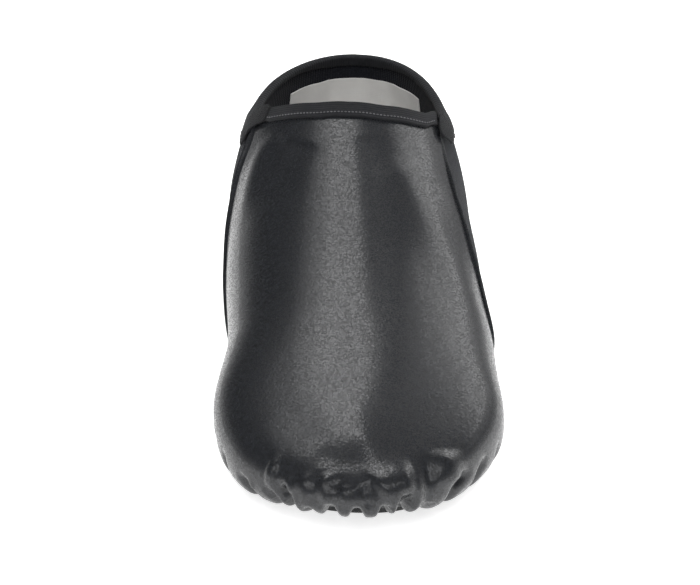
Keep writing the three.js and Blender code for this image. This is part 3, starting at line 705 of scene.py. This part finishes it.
finishPiece(makeHeelLining(), "lining", "upper")

# Leather round the heel, below the collar tape

quarter = {"frontRings": 30, "heelRings": 60, "flangeColumns": 0, "lowColumns": 12, "topColumns": 30,
           "lowest": -0.62, "offset": 0.3, "gap": 0.2, "tapeWidth": 7.5, "bevel": 0.2}


def quarterFront(side, nominal):
    share = softStep((np.asarray(nominal) - quarter["lowest"]) / (last["throatCorner"] - quarter["lowest"]))
    return ringAt(last["length"] - mix(last["quarterFoot"], last["quarterTop"], share))


def makeQuarter():
    nominal, inward = wallColumns(quarter, quarter["lowest"])
    rings = quarter["frontRings"], quarter["heelRings"]
    ring, side, turn, inward = wallGrid(nominal, inward, *rings, quarterFront)
    turn = loweredTurn(ring, side, turn, nominal, quarter["tapeWidth"] + quarter["gap"])
    points = skinPoints(ring, side, turn, inward, np.full(ring.shape, quarter["offset"]))
    return layGrid("heel_quarter_leather", points, leather, wall=last["leather"], bevel=quarter["bevel"],
                   turned=True)


finishPiece(makeQuarter(), "leather", "heel_quarter")

# Folded tapes round the throat and the collar

tapes = {"collarWidth": 7.5, "throatWidth": 6.0, "innerWidth": 2.8, "sideInnerWidth": 1.2, "innerFrom": 0.86,
         "innerOver": 0.10, "thickness": 0.8, "clearance": 0.1, "endLead": 1.5, "endRound": 26.0,
         "cornerGap": 0.001, "legSteps": 6, "foldSteps": 10, "collarRings": 70, "throatRows": 50,
         "bevel": 0.15}


def tapeProfile(wall, width, innerWidth):
    # reach past the edge and offset from the wall, for the outer face of the folded tape
    lift = tapes["clearance"] + tapes["thickness"]
    legs = np.linspace(-1, 0, tapes["legSteps"] + 1)[:-1]
    angle = np.linspace(0, np.pi, tapes["foldSteps"] + 1)
    fold = np.broadcast_to(lift * np.sin(angle), (len(innerWidth), len(angle)))
    reach = np.hstack([width * legs[None, :], fold, innerWidth * legs[None, ::-1]])
    fold = -wall / 2 + (wall / 2 + lift) * np.cos(angle)
    offset = np.concatenate([np.full(len(legs), lift), fold, np.full(len(legs), -wall - lift)])
    return reach, offset


def collarPlaces(count):
    # from the outer throat corner round the heel to the inner one
    def half(side):
        corner = np.array([last["throatCorner"]])
        ring = bandRings(corner, count, count, edgeRing(side, corner) + tapes["cornerGap"])[:, 0]
        return ring[:, None], np.full((len(ring), 1), side), collarTurn(ring, side)[:, None]
    return bothSides(half)


def makeCollarTape():
    ring, side, edge = collarPlaces(tapes["collarRings"])
    back = softStep((ring - tapes["innerFrom"]) / tapes["innerOver"])
    innerWidth = mix(tapes["sideInnerWidth"], tapes["innerWidth"], back)
    behind = (ring - edgeRing(side, last["throatCorner"])) / ringPerLength
    end = np.clip((behind + tapes["endLead"]) / tapes["endRound"], 0, 1)
    width = tapes["collarWidth"] * np.where(side > 0, np.sqrt(1 - (1 - end) ** 2), 1)
    reach, offset = tapeProfile(last["wall"], width, innerWidth)
    turn = edge + reach / lengthPer(ring, side, edge, "turn")
    ring, side = np.broadcast_to(ring, turn.shape), np.broadcast_to(side, turn.shape)
    flat = np.zeros(turn.shape)
    points = skinPoints(ring, side, turn, flat, offset - last["leather"] + flat)
    return layGrid("collar_tape_cloth", points, tape, wall=tapes["thickness"], bevel=tapes["bevel"],
                   turned=True)


def throatPlaces(count):
    spare = tapes["thickness"] + 2 * tapes["clearance"]

    def half(side):
        corner = last["throatCorner"]
        start = corner + spare / lengthPer(edgeRing(side, corner), side, corner, "turn")
        turn = np.linspace(start, 1.0, count + 1)
        return turn[:, None], np.full((len(turn), 1), side), edgeRing(side, turn)[:, None]
    return bothSides(half)


def makeThroatTape():
    turn, side, edge = throatPlaces(tapes["throatRows"])
    width, innerWidth = (np.full((len(turn), 1), tapes[key]) for key in ("throatWidth", "innerWidth"))
    reach, offset = tapeProfile(last["wall"] + last["leather"], width, innerWidth)
    ring = edge + reach / lengthPer(edge, side, turn, "ring")
    turn, side = np.broadcast_to(turn, ring.shape), np.broadcast_to(side, ring.shape)
    flat = np.zeros(ring.shape)
    points = skinPoints(ring, side, turn, flat, offset + flat)
    return layGrid("throat_tape_cloth", points, tape, wall=tapes["thickness"], bevel=tapes["bevel"])


finishPiece(makeCollarTape(), "tape", "collar_tape")
finishPiece(makeThroatTape(), "tape", "throat_tape")

# Tabs of tape over the throat corners, where the two tapes meet. A path runs over shares of the length
# and turns, with the height of the tab over the form in millimetres.
tabs = {
    "halfWidth": 3.75, "thickness": 0.7, "steps": 26, "across": 8, "blunt": 0.25, "edgeDrop": 0.25,
    "outer": ((0.612, 0.580, 1.55), (0.622, 0.530, 1.75), (0.634, 0.460, 1.60), (0.641, 0.400, 1.00),
              (0.645, 0.330, 0.40)),
    "inner": ((0.668, 0.365, 0.35), (0.661, 0.390, 0.60), (0.650, 0.420, 0.90), (0.636, 0.450, 1.40),
              (0.620, 0.458, 1.50), (0.605, 0.450, 1.10)),
}


def layStrip(name, side, path, material):
    share, turn, lift = np.array(path).T
    knots, at = np.linspace(0, 1, len(path)), np.linspace(0, 1, tabs["steps"] + 1)
    ring, turn, lift = (np.interp(at, knots, v) for v in (ringAt(share * last["length"]), turn, lift))
    # ways along the form that a step of ring and of turn makes, solved for a step straight across the path
    centre = formAt(ring, side, turn)
    out = normalAt(ring, side, turn)
    across = unit(np.cross(out, np.gradient(centre, axis=0)))
    gap = np.minimum(*(np.linalg.norm(centre[end] - centre, axis=1) for end in (0, -1))) / tabs["halfWidth"]
    half = tabs["halfWidth"] * np.sqrt(1 - (1 - np.clip(gap + tabs["blunt"], 0, 1)) ** 2)
    reach = half[:, None] * np.linspace(-1, 1, tabs["across"] + 1)
    step = 0.002
    perRing = (formAt(ring + step, side, turn) - formAt(ring - step, side, turn)) / (2 * step)
    perTurn = (formAt(ring, side, turn + step) - formAt(ring, side, turn - step)) / (2 * step)
    a, b, c = (perRing * perRing).sum(-1), (perRing * perTurn).sum(-1), (perTurn * perTurn).sum(-1)
    d, e = (across * perRing).sum(-1), (across * perTurn).sum(-1)
    ringStep, turnStep = (c * d - b * e) / (a * c - b * b), (a * e - b * d) / (a * c - b * b)
    ring, turn = ring[:, None] + ringStep[:, None] * reach, turn[:, None] + turnStep[:, None] * reach
    crown = lift[:, None] - tabs["edgeDrop"] * np.linspace(-1, 1, tabs["across"] + 1) ** 4
    points = liftFrom(ring, side, turn, crown)
    return layGrid(name, points, material, wall=tabs["thickness"], bevel=tapes["bevel"], turned=side > 0)


finishPiece(layStrip("outer_tab_cloth", -1.0, tabs["outer"], tape), "tape")
finishPiece(layStrip("inner_tab_cloth", 1.0, tabs["inner"], tape), "tape")

# Stitches: one is modelled, and its copies are laid along each seam as one mesh

stitch = {"length": 0.85, "width": 0.48, "height": 0.40, "segments": 6, "rings": 5, "pitch": 1.15}


def alongSeam(ring, side, turn, lift):
    # places a stitch apart along a seam, with the way the seam runs and the way out
    line = formAt(ring, side, turn)
    run = np.append(0, np.cumsum(np.linalg.norm(np.diff(line, axis=0), axis=1)))
    at = np.arange(stitch["pitch"] / 2, run[-1], stitch["pitch"])
    ring, turn = np.interp(at, run, ring), np.interp(at, run, turn)
    way = np.stack([np.interp(at, run, column) for column in np.gradient(line, axis=0).T], -1)
    out = normalAt(ring, side, turn)
    return liftFrom(ring, side, turn, lift + np.zeros(len(at))), unit(way), out


def makeStitches(name, rows):
    bpy.ops.object.select_all(action="DESELECT")
    bpy.ops.mesh.primitive_uv_sphere_add(segments=stitch["segments"], ring_count=stitch["rings"], radius=0.5)
    one = bpy.context.object
    bpy.ops.object.mode_set(mode="EDIT")
    size = (stitch["length"], stitch["width"], stitch["height"])
    bpy.ops.transform.resize(value=size, center_override=(0, 0, 0))
    bpy.ops.object.mode_set(mode="OBJECT")
    shape = np.array([v.co for v in one.data.vertices])
    faces = [list(f.vertices) for f in one.data.polygons]
    places, ways, outs = (np.concatenate(part) for part in zip(*rows))
    sideways = unit(np.cross(outs, ways))
    ways = np.cross(sideways, outs)
    corners = (places[:, None] + shape[None, :, :1] * ways[:, None] + shape[None, :, 1:2] * sideways[:, None]
               + shape[None, :, 2:] * outs[:, None])
    mesh = bpy.data.meshes.new(name)
    count = len(shape)
    mesh.from_pydata(((corners.reshape(-1, 3) + shift) * mm).tolist(), [],
                     [[v + copy * count for v in face] for copy in range(len(places)) for face in faces])
    bpy.data.objects.remove(one)
    row = bpy.data.objects.new(name, mesh)
    scene.collection.objects.link(row)
    mesh.materials.append(thread)
    mesh.shade_smooth()
    return row


# Where the seams run: millimetres in from an edge, turns or shares of the length, and lift over the piece
seams = {
    "throatIn": 4.4, "throatFrom": 0.03, "throatLift": 1.0, "collarDown": 5.8, "collarFrom": 0.665,
    "collarLift": 0.18, "outerBehind": 3.0, "innerBehind": 3.8, "sideFoot": -0.8, "sideTop": 0.40,
    "sideLift": 0.15, "quarterBehind": 1.6, "quarterFoot": 0.02, "quarterTop": 0.78, "quarterLift": 0.08,
    "throatPoints": 200, "collarPoints": 400, "sidePoints": 300, "quarterPoints": 200,
}


def throatSeam(side):
    turn = np.linspace(last["throatCorner"] + seams["throatFrom"], 1.0, seams["throatPoints"])
    edge = edgeRing(side, turn)
    ring = edge - seams["throatIn"] / lengthPer(edge, side, turn, "ring")
    return alongSeam(ring, side, turn, seams["throatLift"])


def collarSeam(side):
    ring = np.linspace(ringAt(last["length"] * seams["collarFrom"]), 1.0, seams["collarPoints"])
    edge = collarTurn(ring, side)
    turn = edge - seams["collarDown"] / lengthPer(ring, side, edge, "turn")
    return alongSeam(ring, side, turn, seams["collarLift"])


def sideSeam(side, behind):
    turn = np.linspace(seams["sideFoot"], seams["sideTop"], seams["sidePoints"])
    ring = edgeRing(side, turn) + behind * ringPerLength
    return alongSeam(ring, side, turn, sides["offset"] + seams["sideLift"])


def quarterSeam(side):
    foot, top = quarter["lowest"] + seams["quarterFoot"], last["throatCorner"] * seams["quarterTop"]
    nominal = np.linspace(foot, top, seams["quarterPoints"])
    ring = quarterFront(side, nominal) + seams["quarterBehind"] * ringPerLength
    turn = np.where(nominal > 0, nominal / last["throatCorner"] * collarTurn(ring, side), nominal)
    return alongSeam(ring, side, turn, quarter["offset"] + seams["quarterLift"])


tapeSeams = [throatSeam(-1.0), throatSeam(1.0), collarSeam(-1.0), collarSeam(1.0)]
sideSeams = [sideSeam(-1.0, seams["outerBehind"]), sideSeam(1.0, seams["innerBehind"])]
finishPiece(makeStitches("tape_stitches", tapeSeams), "tape")
finishPiece(makeStitches("side_stitches", sideSeams), "elastic")
finishPiece(makeStitches("quarter_stitches", [quarterSeam(-1.0), quarterSeam(1.0)]), "leather")

# Pads of the sole, the leather of the arch and the insole, each a grid drawn out to its thickness

plates = {"across": 24, "bevel": 0.5, "bevelSegments": 3, "smoothAngle": math.radians(40)}


def plateGrid(rings, placeAt):
    outward = np.linspace(0, 1, plates["across"] + 1)
    share = np.concatenate([np.linspace(1, 0, plates["across"] + 1), outward[1:]])
    side = np.concatenate([-np.ones(plates["across"] + 1), np.ones(plates["across"])])
    ring = np.repeat(np.asarray(rings)[:, None], len(share), 1)
    return placeAt(ring, np.broadcast_to(side, ring.shape), np.broadcast_to(share, ring.shape))


def ringsThrough(stops, counts):
    parts = [np.linspace(a, b, count + 1) for a, b, count in zip(stops[:-1], stops[1:], counts)]
    return np.concatenate([parts[0]] + [part[1:] for part in parts[1:]])


def bowed(ring, side, share, end, bow):
    # the straight end of a pad is rounded by moving it along the foot
    point = underAt(ring, side, share)
    near = softStep(1 - np.abs(station(ring)[0] - end) / last["padBend"])
    point[..., 1] += bow * near * share ** 2
    return point


def drawOut(piece, height, flat=False, bevel=plates["bevel"]):
    # drawn out by height, and down to the floor where flat is set
    bpy.ops.object.select_all(action="DESELECT")
    piece.select_set(True)
    bpy.context.view_layer.objects.active = piece
    bpy.ops.object.mode_set(mode="EDIT")
    bpy.ops.mesh.select_all(action="SELECT")
    bpy.ops.mesh.extrude_region_move(TRANSFORM_OT_translate={"value": (0, 0, height * mm)})
    if flat:
        bpy.ops.transform.resize(value=(1, 1, 0), center_override=(0, 0, 0))
    bpy.ops.mesh.select_all(action="SELECT")
    bpy.ops.mesh.normals_make_consistent(inside=False)
    bpy.ops.object.mode_set(mode="OBJECT")
    edge = piece.modifiers.new("edge", "BEVEL")
    edge.width = bevel * mm
    edge.segments = plates["bevelSegments"]
    edge.limit_method = "ANGLE"
    edge.angle_limit = grids["sharpAngle"]
    bpy.ops.object.modifier_apply(modifier=edge.name)
    bpy.ops.object.shade_smooth_by_angle(angle=plates["smoothAngle"])
    return piece


forefootPad = {"toeRings": 60, "backRings": 24}
heelPad = {"frontRings": 12, "heelRings": 48, "cupRows": 8}
arch = {"underPads": 18, "rings": 60, "width": 0.985, "clear": 0.05, "bevel": 0.2}
footbedPlate = {"toeRings": 40, "middleRings": 40, "heelRings": 30}


def makeForefootPad():
    end = ringAt(last["frontPadEnd"])
    rings = ringsThrough((0, last["toeEnd"], end), (forefootPad["toeRings"], forefootPad["backRings"]))
    points = plateGrid(rings, lambda r, s, k: bowed(r, s, k, last["frontPadEnd"], -last["padBow"]))
    points[..., 2] = soleFloor(points[..., 1]) + last["forefootSole"]
    return drawOut(layGrid("forefoot_pad_sole", points, rubber), -last["forefootSole"])


def makeHeelPad():
    start = ringAt(last["heelPadStart"])
    rings = ringsThrough((start, last["backStart"], 1), (heelPad["frontRings"], heelPad["heelRings"]))
    cup = np.linspace(-1, last["cupTurn"], heelPad["cupRows"] + 1)[1:]
    flat = plateGrid(rings, lambda r, s, k: bowed(r, s, k, last["heelPadStart"], last["padBow"]))

    def cupAt(side):
        ring = np.repeat(rings[:, None], len(cup), 1)
        edge = np.full(ring.shape, 1.0)
        hand = np.full(ring.shape, side)
        moved = bowed(ring, hand, edge, last["heelPadStart"], last["padBow"]) - underAt(ring, hand, edge)
        return formAt(ring, side, cup[None, :]) + moved
    points = np.concatenate([cupAt(-1.0)[:, ::-1], flat, cupAt(1.0)], axis=1)
    points[..., 2] -= last["clearance"]
    return drawOut(layGrid("heel_pad_sole", points, rubber), -1.0, flat=True)


def makeArch():
    front, back = last["frontPadEnd"] - arch["underPads"], last["heelPadStart"] + arch["underPads"]
    rings = np.linspace(ringAt(front), ringAt(back), arch["rings"])
    points = plateGrid(rings, lambda r, s, k: underAt(r, s, k * arch["width"]))
    points[..., 2] += last["leather"] - arch["clear"]
    depth = last["leather"] - 2 * arch["clear"]
    return drawOut(layGrid("arch_leather", points, leather), -depth, bevel=arch["bevel"])


def makeInsole():
    counts = footbedPlate["toeRings"], footbedPlate["middleRings"], footbedPlate["heelRings"]
    rings = ringsThrough((0, last["toeEnd"], last["heelStart"], 1), counts)
    points = plateGrid(rings, underAt)
    points[..., 2] += last["leather"] + last["wall"] + last["clearance"] + last["insole"]
    return drawOut(layGrid("insole_footbed", points, footbed), -last["insole"])


finishPiece(makeForefootPad(), "sole", "forefoot_pad")
finishPiece(makeHeelPad(), "sole", "heel_pad")
finishPiece(makeArch(), "leather", "upper")
finishPiece(makeInsole(), "insole", "insole")


# Floor, lights and camera

floorLook = {"size": 30.0, "colour": (0.86, 0.86, 0.86), "roughness": 0.9, "specular": 0.1, "glow": 0.72}
bpy.ops.object.select_all(action="DESELECT")
bpy.ops.mesh.primitive_plane_add(size=floorLook["size"], location=(0, 0, 0))
floor = bpy.context.object
floor.name = "floor"
floorFinish, _, _, floorShader = makeMaterial("pale_floor", floorLook["colour"], floorLook["roughness"],
                                              floorLook["specular"])
floorShader.inputs["Emission Color"].default_value = (1, 1, 1, 1)
floorShader.inputs["Emission Strength"].default_value = floorLook["glow"]
floor.data.materials.append(floorFinish)

# A pale surround at the horizon and a dim room over it
worldLook = {"horizon": 0.80, "overhead": 0.05, "from": 0.02, "to": 0.42}
world = bpy.data.worlds.new("studio")
scene.world = world
world.use_nodes = True
skyNodes, skyLinks = world.node_tree.nodes, world.node_tree.links
way = addNode(skyNodes, "ShaderNodeSeparateXYZ")
skyLinks.new(addNode(skyNodes, "ShaderNodeTexCoord").outputs["Generated"], way.inputs["Vector"])
fall = addNode(skyNodes, "ShaderNodeMapRange", interpolation_type="SMOOTHSTEP")
for key, value in (("From Min", worldLook["from"]), ("From Max", worldLook["to"]),
                   ("To Min", worldLook["horizon"]), ("To Max", worldLook["overhead"])):
    fall.inputs[key].default_value = value
skyLinks.new(way.outputs["Z"], fall.inputs["Value"])
skyLinks.new(fall.outputs["Result"], skyNodes["Background"].inputs["Strength"])
skyNodes["Background"].inputs["Color"].default_value = (1, 1, 1, 1)

# Overhead strips whose right edges meet over the shoe's middle line, panels that begin beside it on the
# right, and two fills that the leather doesn't mirror. A light shines straight down unless aim is given,
# and shine is the light of a square metre over pi.
lights = {
    "stripNarrow": {"place": (-0.10, 0.44, 0.95), "size": (0.27, 0.66), "shine": 1.8},
    "stripMiddle": {"place": (-0.16, 0.44, 0.96), "size": (0.39, 0.66), "shine": 1.3},
    "stripWide": {"place": (-0.21, 0.44, 0.97), "size": (0.49, 0.66), "shine": 0.8},
    "panelNear": {"place": (1.38, 1.44, 0.95), "size": (2.36, 2.06), "shine": 0.8},
    "panelMiddle": {"place": (0.90, 1.00, 0.96), "size": (1.12, 1.16), "shine": 1.0},
    "panelFar": {"place": (1.00, 1.05, 0.97), "size": (0.96, 1.10), "shine": 0.9},
    "frontBox": {"place": (-0.05, -1.05, 0.95), "size": (1.40, 1.00), "shine": 1.5},
    "fillFront": {"place": (0, -1.5, 1.6), "aim": (0, 0.05, 0.03),
                  "size": (1.6, 1.2), "shine": 3.8, "mirrored": False},
    "fillTop": {"place": (0, 0, 2.4), "size": (3.2, 3.2), "shine": 1.1, "mirrored": False},
}
for name, light in lights.items():
    lamp = bpy.data.lights.new(name, "AREA")
    lamp.shape, lamp.size, lamp.size_y = "RECTANGLE", *light["size"]
    lamp.energy = light["shine"] * math.pi * light["size"][0] * light["size"][1]
    holder = bpy.data.objects.new(name, lamp)
    holder.location = light["place"]
    holder.rotation_mode = "QUATERNION"
    aim = light.get("aim", (*light["place"][:2], 0))
    holder.rotation_quaternion = (Vector(aim) - Vector(light["place"])).to_track_quat("-Z", "Y")
    holder.visible_glossy = light.get("mirrored", True)
    scene.collection.objects.link(holder)

shot = {"target": (-0.00214, 0.00084, 0.0194), "elevation": 25.0, "azimuth": 2.2, "distance": 0.640,
        "lens": 98.92, "sensor": 36.0, "nearest": 0.01}
rise, turned = math.radians(shot["elevation"]), math.radians(shot["azimuth"])
back = Vector((math.sin(turned) * math.cos(rise), -math.cos(turned) * math.cos(rise), math.sin(rise)))
camera = bpy.data.objects.new("camera", bpy.data.cameras.new("camera"))
camera.data.lens = shot["lens"]
camera.data.sensor_width = shot["sensor"]
camera.data.clip_start = shot["nearest"]
camera.location = Vector(shot["target"]) + back * shot["distance"]
camera.rotation_mode = "QUATERNION"
camera.rotation_quaternion = (-back).to_track_quat("-Z", "Y")
scene.collection.objects.link(camera)
scene.camera = camera
scene.view_settings.view_transform = "Standard"
